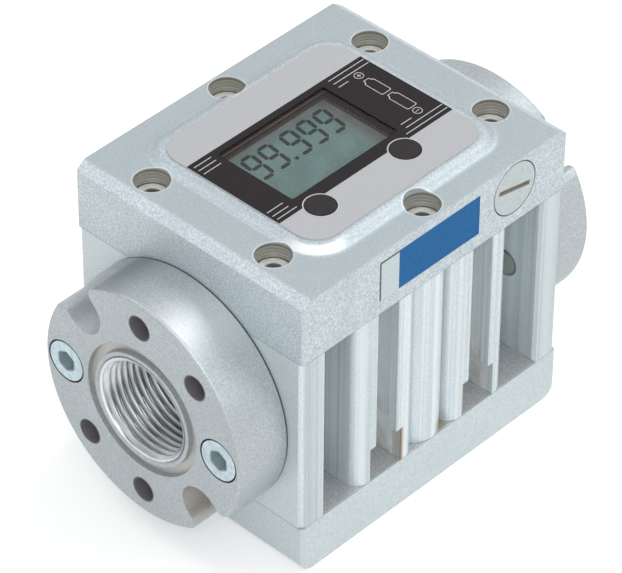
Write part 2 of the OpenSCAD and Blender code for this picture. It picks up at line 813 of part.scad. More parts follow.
// A point on the involute of the base circle, at the given unwinding angle in degrees
function involute(angle) = base_radius * [
    cos(angle) + angle * PI / 180 * sin(angle),
    sin(angle) - angle * PI / 180 * cos(angle)
];
flank_steps = 6;
function unwinding(radius) = sqrt(radius * radius / (base_radius * base_radius) - 1) * 180 / PI;
function involute_turn(radius) = unwinding(radius) - atan(unwinding(radius) * PI / 180);

// Half the angle that a tooth covers on the base circle
function tooth_half() =
    90 / gear_teeth + involute_turn(pitch_radius) - backlash / 4 / pitch_radius * 180 / PI;

// One flank of the tooth that points along +X: from the root up to the tip
function flank_points() = concat(
    [root_radius * [cos(tooth_half()), -sin(tooth_half())]],
    [for (i = [0 : flank_steps])
        let (p = involute(unwinding(tip_radius) * i / flank_steps), a = -tooth_half())
        [p.x * cos(a) - p.y * sin(a), p.x * sin(a) + p.y * cos(a)]]
);
function mirrored(points) = [for (i = [len(points) - 1 : -1 : 0]) [points[i].x, -points[i].y]];

module gear_outline() {
    tooth = concat(flank_points(), mirrored(flank_points()));
    circle(r = root_radius);
    for (i = [0 : gear_teeth - 1]) rotate(i * 360 / gear_teeth)
        polygon(concat([[0, 0]], tooth));
}

// A gear with its bore, its first tooth pointing along +X
module metering_gear() {
    difference() {
        linear_extrude(gear_height) gear_outline();
        translate([0, 0, -over]) cylinder(r = bush_radius, h = gear_height + 2 * over);
    }
}

// Both gears lie on the Y axis; a tooth of the front one points at a gap of the rear one
module metering_gear_front() {
    color([0.35, 0.36, 0.38])
    difference() {
        translate([0, -pitch_radius, gear_base]) rotate([0, 0, 90]) metering_gear();
        both_ends() translate([magnet_orbit, -pitch_radius, gear_base + gear_height])
            translate([0, 0, -magnet_height])
                cylinder(d = magnet_diameter, h = magnet_height + over, $fn = small_fn);
    }
}

module metering_gear_rear() {
    color([0.35, 0.36, 0.38]) translate([0, pitch_radius, gear_base])
        rotate([0, 0, -90 + 180 / gear_teeth]) metering_gear();
}

module gear_magnets() {
    color([0.6, 0.6, 0.62])
    both_ends() translate([magnet_orbit, -pitch_radius, gear_base + gear_height - magnet_height])
        cylinder(d = magnet_diameter, h = magnet_height, $fn = small_fn);
}

module gear_bush() {
    difference() {
        cylinder(r = bush_radius, h = gear_height);
        translate([0, 0, -over])
            cylinder(r = bush_bore_radius, h = gear_height + 2 * over, $fn = small_fn);
    }
}

module gear_bush_front() {
    color([0.6, 0.45, 0.25]) translate([0, -pitch_radius, gear_base]) gear_bush();
}

module gear_bush_rear() {
    color([0.6, 0.45, 0.25]) translate([0, pitch_radius, gear_base]) gear_bush();
}

module gear_pin() {
    translate([0, 0, body_base - pin_seat])
        cylinder(r = pin_radius, h = body_height + 2 * pin_seat, $fn = small_fn);
}

module gear_pin_front() {
    color([0.8, 0.8, 0.82]) translate([0, -pitch_radius, 0]) gear_pin();
}

module gear_pin_rear() {
    color([0.8, 0.8, 0.82]) translate([0, pitch_radius, 0]) gear_pin();
}

module display_overlay() {
    color([0.75, 0.75, 0.77])
    translate([0, 0, pad_top]) difference() {
        linear_extrude(overlay_thickness)
            rounded_rect(overlay_length, overlay_width, overlay_round);
        translate([window_x, window_y, -over]) linear_extrude(overlay_thickness + 2 * over)
            square([window_length, window_width], center = true);
        for (x = button_positions) translate([x, button_y, -over])
            cylinder(r = button_radius + button_gap, h = overlay_thickness + 2 * over);
    }
}

module display_window() {
    color([0.8, 0.9, 0.9, 0.3])
    translate([window_x, window_y, clear_base]) linear_extrude(clear_thickness)
        square([window_length + 2 * window_lap, window_width + 2 * window_lap], center = true);
}

// Moulded frame between the overlay and the display module
module display_frame() {
    color([0.12, 0.11, 0.11])
    difference() {
        translate([electronics_x, 0, frame_base]) linear_extrude(pad_top - frame_base)
            rounded_rect(board_length, board_width, electronics_round);
        translate([window_x, window_y, frame_base - over])
            linear_extrude(pad_top - frame_base + 2 * over)
                square([window_length, window_width], center = true);
        translate([window_x, window_y, clear_base]) linear_extrude(clear_thickness + over)
            square([window_length + 2 * (window_lap + seal_gap),
                window_width + 2 * (window_lap + seal_gap)], center = true);
        for (x = button_positions) translate([x, button_y, frame_base - over]) {
            cylinder(r = button_radius + button_gap, h = pad_top - frame_base + 2 * over);
            cylinder(r = collar_radius + 2 * button_gap,
                h = collar_top - frame_base + 2 * button_gap + over);
        }
    }
}

module lcd_module() {
    color([0.45, 0.52, 0.5])
    translate([window_x, window_y, board_top]) linear_extrude(module_height)
        square([window_length + 2 * window_lap, window_width + 2 * window_lap], center = true);
}

module circuit_board() {
    color([0.1, 0.35, 0.2])
    difference() {
        translate([electronics_x, 0, board_base]) linear_extrude(board_thickness)
            rounded_rect(board_length, board_width, electronics_round);
        for (place = board_post_places()) translate([place.x, place.y, board_base - over])
            cylinder(r = board_screw_diameter / 2 + fitting_gap,
                h = board_thickness + 2 * over, $fn = small_fn);
        for (i = [-1, 0, 1])
            translate([magnet_orbit + i * sensor_lead_pitch, -pitch_radius, board_base - over])
                cylinder(r = 2 * sensor_lead_radius, h = board_thickness + 2 * over,
                    $fn = small_fn);
    }
}

module board_screws() {
    color([0.8, 0.8, 0.8])
    for (place = board_post_places()) translate([place.x, place.y, board_top]) {
        cylinder(d = 2 * board_screw_diameter, h = board_head_height, $fn = small_fn);
        translate([0, 0, -board_screw_length])
            cylinder(d = board_screw_diameter, h = board_screw_length + board_head_height / 2,
                $fn = small_fn);
    }
}

// A small push switch standing on the circuit board
module push_switch() {
    translate([0, 0, board_top]) {
        linear_extrude(switch_case_height) square(switch_side, center = true);
        cylinder(d = plunger_diameter, h = switch_case_height + plunger_height, $fn = small_fn);
    }
}

module reset_switch() {
    color([0.2, 0.2, 0.2]) translate([reset_x, button_y, 0]) push_switch();
}

module calibration_switch() {
    color([0.2, 0.2, 0.2]) translate([calibration_x, button_y, 0]) push_switch();
}

module pulse_sensor() {
    color([0.15, 0.15, 0.16])
    translate([magnet_orbit, -pitch_radius, sensor_base]) {
        cylinder(r = sensor_radius, h = sensor_height, $fn = small_fn);
        for (i = [-1, 0, 1]) translate([i * sensor_lead_pitch, 0, 0])
            cylinder(r = sensor_lead_radius, h = board_top - sensor_base, $fn = 16);
    }
}

// A push button: its disc, its collar and the stem above the switch
module push_button() {
    translate([0, 0, collar_base]) {
        cylinder(r = button_radius, h = button_top - collar_base);
        cylinder(r = collar_radius, h = collar_height);
    }
    translate([0, 0, stem_base])
        cylinder(r = stem_radius, h = collar_base - stem_base + collar_height, $fn = small_fn);
}

module reset_button() {
    color([0.14, 0.12, 0.12]) translate([reset_x, button_y, 0]) push_button();
}

module calibration_button() {
    color([0.14, 0.12, 0.12]) translate([calibration_x, button_y, 0]) push_button();
}

// Places a shape drawn along +Z in the battery tube, starting at the given depth
module in_tube(y) {
    translate([battery_x, y, battery_z]) rotate([-90, 0, 0]) children();
}

// A round cell with its terminal towards +Z
module cell() {
    r = cell_diameter / 2;
    case_length = cell_length - cell_tip_height;
    rotate_extrude() polygon([
        [0, 0], [r - cell_bevel, 0], [r, cell_bevel], [r, case_length - cell_bevel],
        [r - cell_bevel, case_length], [cell_tip_radius, case_length],
        [cell_tip_radius, cell_length], [0, cell_length]
    ]);
}

module battery_front() {
    color([0.25, 0.3, 0.35]) in_tube(front_cell_y) cell();
}

module battery_rear() {
    color([0.25, 0.3, 0.35]) in_tube(rear_cell_y) cell();
}

module battery_contact() {
    color([0.8, 0.75, 0.6]) in_tube(contact_y)
        cylinder(r = tube_radius - cell_gap, h = contact_thickness, $fn = small_fn);
}

// Points of one ring of the spring's wire, a share t of the way along it
function spring_ring(t) =
    let (
        radius = spring_large_radius + (spring_small_radius - spring_large_radius) * t,
        turn = 360 * spring_turns * t,
        rise = spring_wire_radius + (contact_spring_length - 2 * spring_wire_radius) * t
    )
    [for (k = [0 : spring_sides - 1])
        let (
            a = 360 * k / spring_sides,
            out = radius + spring_wire_radius * cos(a)
        )
        [out * cos(turn), out * sin(turn), rise + spring_wire_radius * sin(a)]];

module contact_spring() {
    rings = spring_turns * spring_steps;
    points = [for (i = [0 : rings]) each spring_ring(i / rings)];
    sides = [
        for (i = [0 : rings - 1], k = [0 : spring_sides - 1])
            let (a = i * spring_sides + k, b = i * spring_sides + (k + 1) % spring_sides)
            [a, b, b + spring_sides, a + spring_sides]
    ];
    first = [for (k = [spring_sides - 1 : -1 : 0]) k];
    last = [for (k = [0 : spring_sides - 1]) rings * spring_sides + k];
    color([0.8, 0.78, 0.7]) in_tube(cap_end_y)
        polyhedron(points = points, faces = concat([first], sides, [last]));
}

module battery_cap() {
    color([0.78, 0.81, 0.81]) in_tube(-half_width)
        difference() {
            union() {
                cylinder(r = cap_radius, h = cap_head);
                cylinder(r = cap_thread_radius, h = cap_head + cap_thread_length);
            }
            rotate([0, 0, coin_slot_angle]) translate([0, 0, (coin_slot_depth - over) / 2])
                cube([coin_slot_length, coin_slot_width, coin_slot_depth + over],
                    center = true);
        }
}

module battery_cap_seal() {
    color([0.08, 0.08, 0.08]) in_tube(-half_width + cap_head)
        difference() {
            cylinder(r = cap_radius, h = cap_seal_thickness);
            translate([0, 0, -over]) cylinder(r = cap_thread_radius + 2 * cap_thread_clearance,
                h = cap_seal_thickness + 2 * over);
        }
}

module side_label() {
    color([0.16, 0.43, 0.68])
    translate([label_x - label_length / 2, -half_width - label_thickness,
            lid_top - label_drop - label_height / 2])
        cube([label_length, label_thickness, label_height]);
}

meter_body();
top_cover();
bottom_cover();
inlet_flange();
outlet_flange();
inlet_flange_screws();
outlet_flange_screws();
top_cover_screws();
bottom_cover_screws();
top_seal();
bottom_seal();
inlet_seal();
outlet_seal();
gear_pin_front();
gear_pin_rear();
metering_gear_front();
metering_gear_rear();
gear_bush_front();
gear_bush_rear();
gear_magnets();
display_overlay();
display_window();
display_frame();
lcd_module();
circuit_board();
board_screws();
reset_switch();
calibration_switch();
pulse_sensor();
reset_button();
calibration_button();
battery_front();
battery_rear();
battery_contact();
contact_spring();
battery_cap();
battery_cap_seal();
side_label();
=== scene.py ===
"""Looks of the digital flow meter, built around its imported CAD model.

Blender works in metres here, in the model's own frame: liquid flows along +X, the battery cap and
the side label face -Y, and the display looks up. Sizes in this file are millimetres.
"""
import math

import bmesh
import bpy
import numpy as np
from mathutils import Matrix, Vector


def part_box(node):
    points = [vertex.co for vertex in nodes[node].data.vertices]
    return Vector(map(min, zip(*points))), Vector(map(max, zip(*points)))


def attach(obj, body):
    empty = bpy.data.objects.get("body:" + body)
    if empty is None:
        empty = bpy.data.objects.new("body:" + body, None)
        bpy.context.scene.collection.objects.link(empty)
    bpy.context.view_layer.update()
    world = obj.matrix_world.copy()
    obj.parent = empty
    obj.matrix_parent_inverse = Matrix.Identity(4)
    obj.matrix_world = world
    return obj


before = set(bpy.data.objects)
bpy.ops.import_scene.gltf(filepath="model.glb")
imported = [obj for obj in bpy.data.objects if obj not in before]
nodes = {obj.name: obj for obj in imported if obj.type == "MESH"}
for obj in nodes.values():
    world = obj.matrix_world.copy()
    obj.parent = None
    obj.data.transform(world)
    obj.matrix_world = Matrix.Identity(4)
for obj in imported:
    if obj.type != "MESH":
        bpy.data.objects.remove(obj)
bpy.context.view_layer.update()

MM = 0.001

# Sizes that the model gives, in millimetres. The block's lengths and widths count from its
# middle, and its two slots on each side lie behind lips whose lower ends are cut away.
BODY_BASE, LID_BASE, LID_TOP = 17.0, 78.0, 100.0
BODY_END, BODY_FRONT = 54.0, 43.7
POCKET_END = 45.3
SLOT_X, SLOT_HALF = 19.5, 6.45
LIP_BACK, LIP_CUT_TOP = 40.7, 29.2
OVERLAY_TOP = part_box("display_overlay")[1].z / MM
GLASS_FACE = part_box("lcd_module")[1].z / MM
FLOW_Z = 47.5
FLANGE_FACE, FLANGE_BACK = 73.0, 54.0
BOLT_RADIUS, FLANGE_HOLE_RADIUS = 30.0, 3.8
CORNER_SCREW, MIDDLE_SCREW = (44.3, 23.35, 0.0), (0.0, 37.6, 0.0)
WELL_RADIUS, HEAD_HOLE_RADIUS = 5.35, 7.0
GROOVE_RADIUS, GROOVE_HALF, GROOVE_DEPTH = 19.85, 1.4, 2.0
NOTCH_REACH = 23.0
BUTTON_Y, BUTTON_XS = -19.6, {"reset_key": -21.7, "calibration_key": 12.6}
CAP_PLACE = (32.0, -43.7, 90.3)
CAP_RADIUS = 8.45
CAP_SLOT_ANGLE, CAP_SLOT_REACH, CAP_SLOT_HALF = 12.0, 6.65, 0.8
WINDOW = (-25.2, -12.3, 17.5, 16.5)


# ---------------------------------------------------------------------------------------------
# Making meshes
# ---------------------------------------------------------------------------------------------
def piece(name, points, faces, body, material, smooth_below=40.0):
    """A piece from an array of points in millimetres and its faces, closed and turned outwards.

    Doubles are merged first, then the normals are worked out again for the closed shell."""
    mesh = bpy.data.meshes.new(name)
    mesh.from_pydata((np.asarray(points, float).reshape(-1, 3) * MM).tolist(), [], faces)
    shell = bmesh.new()
    shell.from_mesh(mesh)
    bmesh.ops.remove_doubles(shell, verts=shell.verts, dist=1e-7)
    bmesh.ops.recalc_face_normals(shell, faces=shell.faces)
    shell.to_mesh(mesh)
    shell.free()
    mesh.shade_smooth()
    mesh.set_sharp_from_angle(angle=math.radians(smooth_below))
    return place_piece(name, mesh, body, material)


def place_piece(name, mesh, body, material):
    """Puts a finished mesh into the scene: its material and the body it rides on."""
    mesh.materials.clear()
    mesh.materials.append(material)
    made = bpy.data.objects.new(name, mesh)
    bpy.context.scene.collection.objects.link(made)
    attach(made, body)
    return made


def grid_faces(rows, columns, wrap_rows=False, wrap_columns=False):
    """Four-cornered faces that join each point of a grid to its neighbours, as index arrays."""
    i, j = np.meshgrid(np.arange(rows - (not wrap_rows)), np.arange(columns - (not wrap_columns)),
                       indexing="ij")
    i2, j2 = (i + 1) % rows, (j + 1) % columns
    corners = [i * columns + j, i2 * columns + j, i2 * columns + j2, i * columns + j2]
    return np.stack([c.ravel() for c in corners], 1).tolist()


def flat_print(name, outlines, bottom, top, body, material):
    """A print on a level surface: outlines in plan, filled where an odd number of them overlap,
    and as thick as its layer of ink."""
    curve = bpy.data.curves.new(name, "CURVE")
    curve.dimensions, curve.fill_mode = "2D", "BOTH"
    curve.extrude = (top - bottom) / 2 * MM
    for outline in outlines:
        outline = np.asarray(outline, float)
        line = curve.splines.new("POLY")
        line.points.add(len(outline) - 1)
        flat = np.zeros((len(outline), 4))
        flat[:, :2], flat[:, 3] = outline * MM, 1
        line.points.foreach_set("co", flat.ravel())
        line.use_cyclic_u = True
    drawn = bpy.data.objects.new(name + "_curve", curve)
    bpy.context.scene.collection.objects.link(drawn)
    depsgraph = bpy.context.evaluated_depsgraph_get()
    mesh = bpy.data.meshes.new_from_object(drawn.evaluated_get(depsgraph))
    bpy.data.objects.remove(drawn)
    bpy.data.curves.remove(curve)
    mesh.name = name
    mesh.transform(Matrix.Translation((0, 0, (top + bottom) / 2 * MM)))
    return place_piece(name, mesh, body, material)


def circle_outline(x, y, radius, steps=48, start=0.0, end=360.0):
    """Points on a circle, or on the part of it between two angles in degrees."""
    whole = abs(end - start) >= 360
    t = np.radians(np.linspace(start, end, steps, endpoint=not whole))
    return np.stack([x + radius * np.cos(t), y + radius * np.sin(t)], 1)


def rounded_outline(x0, y0, x1, y1, radius, steps=8):
    """A rectangle with round corners, point by point round its four quarter circles."""
    corners = [(x1 - radius, y1 - radius, 0), (x0 + radius, y1 - radius, 90),
               (x0 + radius, y0 + radius, 180), (x1 - radius, y0 + radius, 270)]
    return np.concatenate([circle_outline(x, y, radius, steps, a, a + 90) for x, y, a in corners])


def bar_outline(x0, y0, x1, y1):
    """The four corners of a printed line."""
    return np.array([(x0, y0), (x1, y0), (x1, y1), (x0, y1)], float)


# ---------------------------------------------------------------------------------------------
# Making materials
# ---------------------------------------------------------------------------------------------
def linear(code):
    """An sRGB hex colour as linear red, green, blue and alpha."""
    parts = [int(code[i:i + 2], 16) / 255 for i in (1, 3, 5)]
    return (*[c / 12.92 if c <= 0.04045 else ((c + 0.055) / 1.055) ** 2.4 for c in parts], 1.0)


def add(tree, kind, inputs=None, output=0, **settings):
    """Adds one shader node and gives one of its outputs. Settings are the node's own properties,
    and inputs are its sockets, each with a value or with the output that it is linked to."""
    node = tree.nodes.new("ShaderNode" + kind)
    for key, value in settings.items():
        setattr(node, key, value)
    for key, value in (inputs or {}).items():
        if isinstance(value, bpy.types.NodeSocket):
            tree.links.new(value, node.inputs[key])
        else:
            node.inputs[key].default_value = value
    return node.outputs[output] if node.outputs else None


def start_material(name):
    """An empty material, its node tree and the object coordinates that its patterns read."""
    material = bpy.data.materials.new(name)
    material.use_nodes = True
    tree = material.node_tree
    tree.nodes.clear()
    return material, tree, add(tree, "TexCoord", output="Object")


def mottle(tree, place, size, low=0.3, high=0.7, detail=2.0, stretch=(1, 1, 1)):
    """Cloudy spots of a size in millimetres: their raw height, and their share of the surface
    between a low and a high level of it. A small stretch draws them out along an axis."""
    drawn = add(tree, "Mapping", {"Vector": place, "Scale": stretch})
    height = add(tree, "TexNoise", {"Vector": drawn, "Scale": 1 / (size * MM), "Detail": detail,
                                    "Roughness": 0.6}, "Fac")
    share = add(tree, "MapRange", {"Value": height, "From Min": low, "From Max": high},
                "Result", interpolation_type="SMOOTHSTEP")
    return share, height


def between(tree, value, low, high, soft=0.1):
    """1 where a coordinate lies between two limits and 0 past them, with soft ends, all in
    millimetres. A limit of None leaves that side open."""
    masks = []
    for limit, start, end in ((low, 0.0, 1.0), (high, 1.0, 0.0)):
        if limit is not None:
            masks.append(add(tree, "MapRange", {
                "Value": value, "From Min": (limit - soft) * MM, "From Max": (limit + soft) * MM,
                "To Min": start, "To Max": end}, "Result", interpolation_type="SMOOTHSTEP"))
    return together(tree, masks)


def together(tree, masks, operation="MULTIPLY"):
    """One mask out of several: where all of them hold, or with MAXIMUM where any of them does."""
    joined = masks[0]
    for mask in masks[1:]:
        joined = add(tree, "Math", {0: joined, 1: mask}, operation=operation)
    return joined


def near(tree, place, centres, radius, soft=0.1, keep=(1, 1, 1)):
    """1 within a radius of any of the centres, in millimetres; keep drops an axis, which turns
    balls into long round bars."""
    kept = add(tree, "VectorMath", {0: place, 1: keep}, operation="MULTIPLY")
    masks = []
    for centre in centres:
        away = add(tree, "VectorMath", {0: kept, 1: [c * k * MM for c, k in zip(centre, keep)]},
                   "Value", operation="DISTANCE")
        masks.append(between(tree, away, None, radius, soft))
    return together(tree, masks, "MAXIMUM")


def overlay(tree, base, *layers):
    """Colours laid over a base one after another. Each layer is its colour, how strongly it
    covers, and the masks that it needs all of."""
    for colour, strength, *masks in layers:
        base = add(tree, "Mix", {"Factor": together(tree, [*masks, strength]), "A": base,
                                 "B": linear(colour) if isinstance(colour, str) else colour},
                   "Result", data_type="RGBA")
    return base


def folded(tree, place, centre=(0, 0, 0), turn=(0, 0, 0)):
    """Object coordinates about a centre in millimetres, turned by angles in degrees and folded
    into their first octant, for patterns that repeat on all sides."""
    moved = add(tree, "VectorMath", {0: place, 1: [c * MM for c in centre]}, operation="SUBTRACT")
    turned = add(tree, "Mapping", {"Vector": moved, "Rotation": [math.radians(a) for a in turn]})
    return add(tree, "VectorMath", {0: turned}, operation="ABSOLUTE")


def metal_surface(tree, colour, roughness, height, depth=0.05, strength=0.1, edge=0.25,
                  metallic=1.0):
    """Finishes a metal: its colour, a bump in millimetres and edges broken to a small radius."""
    broken = add(tree, "Bevel", {"Radius": edge * MM}, samples=4)
    normal = add(tree, "Bump", {"Height": height, "Strength": strength, "Distance": depth * MM,
                                "Normal": broken})
    surface = add(tree, "BsdfPrincipled", {"Base Color": colour, "Metallic": metallic,
                                           "Roughness": roughness, "Normal": normal})
    add(tree, "OutputMaterial", {"Surface": surface})


def plastic_surface(tree, colour, roughness, ior, height=None):
    """Finishes a plastic, rubber, ink or film: its colour, its gloss and a slight bump."""
    inputs = {"Base Color": colour, "Roughness": roughness, "IOR": ior}
    if height is not None:
        inputs["Normal"] = add(tree, "Bump", {"Height": height, "Strength": 0.1,
                                              "Distance": 0.05 * MM})
    add(tree, "OutputMaterial", {"Surface": add(tree, "BsdfPrincipled", inputs)})


# Anodised aluminium keeps some of the metal's shine under its clear oxide, so it is set below
# full metal.
ANODISED = 0.5
# Blasting grit of about 0.1 mm is too fine to show, so its grain is drawn this coarse. So are
# the die's and the tools' lines, the plastics' mould grain and the display's sparkle further
# down: all are drawn 0.3 to 0.9 mm wide, several times their real size.
GRIT = 0.55
# A joint line is a hair wide, and is drawn this far to each side of it to show
SEAM = 0.12


def blasted_grain(tree, place, light, dark):
    """Colour and height of a blasted surface: fine grit over slow clouds, with a few pits."""
    grains, height = mottle(tree, place, GRIT, 0.34, 0.66)
    clouds, _ = mottle(tree, place, 14, 0.35, 0.7, 3.0)
    pits, _ = mottle(tree, place, 1.6, 0.79, 0.82, 1.0)
    colour = overlay(tree, linear(dark), (light, 1.0, grains), (dark, 0.28, clouds),
                     ("#6c706f", 0.4, pits))
    return colour, height


def extruded_aluminium():
    """Extruded and anodised aluminium: the die leaves fine upright lines on the ribs, and liquid
    has left a faint brown tint low in the slots."""
    material, tree, place = start_material("extruded_aluminium")
    colour, grit = blasted_grain(tree, place, "#d5dfe1", "#c4ced1")
    upright = (1, 1, 0.004)
    fine, lines = mottle(tree, place, 0.7, 0.35, 0.7, 3.0, upright)
    broad, _ = mottle(tree, place, 3.2, 0.45, 0.7, 1.0, upright)
    around = folded(tree, place)
    x, y, z = add(tree, "SeparateXYZ", {"Vector": around}).node.outputs
    faces = between(tree, x, None, BODY_END - 0.2)
    end_faces = between(tree, x, BODY_END - 0.2, None, 0.05)
    ends = between(tree, x, POCKET_END + 0.3, BODY_END - 1, 0.4)
    # Painted shade darkens the faces deep in the pockets, and painted light brightens the slots'
    # walls there
    deep = between(tree, y, None, BODY_FRONT - 2.7, 1.5)
    # Liquid tints the slots behind their lips, and most of all low down
    slot = between(tree, x, SLOT_X - SLOT_HALF - 0.35, SLOT_X + SLOT_HALF + 0.35, 0.5)
    low = between(tree, z, None, 36, 16)
    behind = between(tree, y, None, LIP_BACK, 1.8)
    stains, _ = mottle(tree, place, 5, 0.35, 0.65, 3.0)
    spot = near(tree, place, [(4.6, -42.3, 19.4)], 2.6, 1.8)
    # The cut ends of the lips are brown, and on the left most of all at their outer edge
    inner_wall = SLOT_X - SLOT_HALF
    cut_ends = [between(tree, x, inner_wall - 0.65, inner_wall + 0.55, 0.2),
                between(tree, y, LIP_BACK - 0.5, None),
                between(tree, z, None, LIP_CUT_TOP + 0.2)]
    cut_edge = between(tree, y, BODY_FRONT - 0.6, None, 0.15)
    left = between(tree, add(tree, "SeparateXYZ", {"Vector": place}, "X"), None, 0)
    # Painted highlight: the end ribs' front edges are painted near white
    broken = [between(tree, y, BODY_FRONT - 1.8, BODY_FRONT - 0.15, 0.15),
              between(tree, x, POCKET_END - 0.4, POCKET_END + 0.5)]
    # Painted shade in the holes and round the ends of the flange screws in the pockets, with a
    # brownish tint
    wall = between(tree, x, POCKET_END - 0.4, POCKET_END + 0.4)
    holes = near(tree, around, [(0, BOLT_RADIUS, FLOW_Z)], 4.6, 0.2, (0, 1, 1))
    joints = together(tree, [between(tree, z, level - SEAM, level + SEAM)
                             for level in (BODY_BASE, LID_BASE)], "MAXIMUM")
    colour = overlay(tree, colour, ("#a9b4b8", 0.6, faces, fine), ("#e6eef0", 0.5, faces, broad),
                     ("#b4b6b8", 0.12, faces, deep), ("#f4f7f8", 0.5, slot, deep),
                     ("#ffffff", 0.85, *broken), ("#9faaae", 0.4, ends),
                     ("#a3adb0", 0.25, end_faces),
                     ("#94826c", 0.4, slot, low, behind, stains), ("#a8977f", 0.4, *cut_ends),
                     ("#9a7a58", 0.7, *cut_ends, cut_edge, left), ("#8f8160", 0.6, spot),
                     ("#5f5c50", 0.85, wall, holes), ("#6d7274", 0.6, joints))
    height = add(tree, "Math", {0: lines, 1: 2.2, 2: grit}, operation="MULTIPLY_ADD")
    metal_surface(tree, colour, 0.46, height, 0.08, 0.16, 0.35, ANODISED)
    return material


def cast_cover_aluminium(name, light, dark, top, joint):
    """Cast cover, blasted and anodised: even fine grain, with a painted highlight on the rim of
    each screw well, painted shade just below it and warmer, bored walls in the wells. Top and
    joint are the heights of its face and joint line."""
    material, tree, place = start_material(name)
    colour, grit = blasted_grain(tree, place, light, dark)
    around = folded(tree, place)
    x, y, z = add(tree, "SeparateXYZ", {"Vector": around}).node.outputs
    screws = (CORNER_SCREW, MIDDLE_SCREW)
    upright = (1, 1, 0)
    # Painted highlight on the rim of each screw well
    painted_rim_highlight = near(tree, around, screws, WELL_RADIUS + 0.45, 0.12, upright)
    wells = near(tree, around, screws, WELL_RADIUS + 0.08, 0.04, upright)
    below = between(tree, z, None, top - 0.35, 0.15)
    # Painted shade in a dark band just below the rim of each well
    lip = between(tree, z, top - 1.1, None, 0.3)
    # The tool left faint rings 1.1 mm apart in the wells. The node draws a band every pi / 10
    # of its scaled coordinates.
    rings = add(tree, "TexWave", {"Vector": place, "Scale": 0.1 * math.pi / (1.1 * MM),
                                  "Distortion": 1.6}, "Fac", bands_direction="Z")
    # The joint line shows on the outer faces only, and not on the pockets' floors
    outer = together(tree, [between(tree, x, BODY_END - 0.1, None, 0.05),
                            between(tree, y, BODY_FRONT - 0.1, None, 0.05)], "MAXIMUM")
    seam = together(tree, [outer, between(tree, z, joint - SEAM, joint + SEAM)])
    # The floors of the pockets keep a coarse, dull grain, and liquid has stained one of them
    coarse, _ = mottle(tree, place, 0.65, 0.35, 0.65, 3.0)
    floor = together(tree, [between(tree, z, BODY_BASE - 0.1, BODY_BASE + 0.1, 0.05),
                            between(tree, y, None, BODY_FRONT - 0.6, 0.3)])
    spot = near(tree, place, [(5.8, -42.0, BODY_BASE)], 2.0, 1.2)
    # The thin dark gap around the battery cap
    cap = near(tree, place, [CAP_PLACE], CAP_RADIUS + 0.45, 0.05, (1, 0, 1))
    front = between(tree, add(tree, "SeparateXYZ", {"Vector": place}, "Y"), None, -40)
    # Painted shade: the level face is painted darker than the sides
    flat = between(tree, z, top - 0.3, top + 0.15, 0.1)
    # Painted shade darkens the pad's slope along its sides, and a painted highlight brightens its
    # front left corner
    slope = between(tree, z, LID_TOP + 0.25, LID_TOP + 1.5, 0.1)
    painted_corner_highlight = near(tree, place, [(-35, -31, 0)], 7, 4, upright)
    colour = overlay(tree, colour, ("#a2acb1", 0.62, flat), ("#98a3a9", 0.35, slope),
                     ("#f2f6f8", 0.8, slope, painted_corner_highlight), ("#e8eeef", 0.3, painted_rim_highlight),
                     ("#a09f97", 1.0, wells, below), ("#c8c7bf", 0.75, wells, below, rings),
                     ("#4a4946", 0.45, wells, below, lip), ("#c6c4c4", 0.6, floor),
                     ("#9c9b9e", 0.6, floor, coarse), ("#8f8160", 0.5, floor, spot),
                     ("#6d7274", 0.6, seam), ("#7d8183", 0.7, cap, front))
    metal_surface(tree, colour, 0.48, grit, 0.08, 0.16, 0.3, ANODISED)
    return material


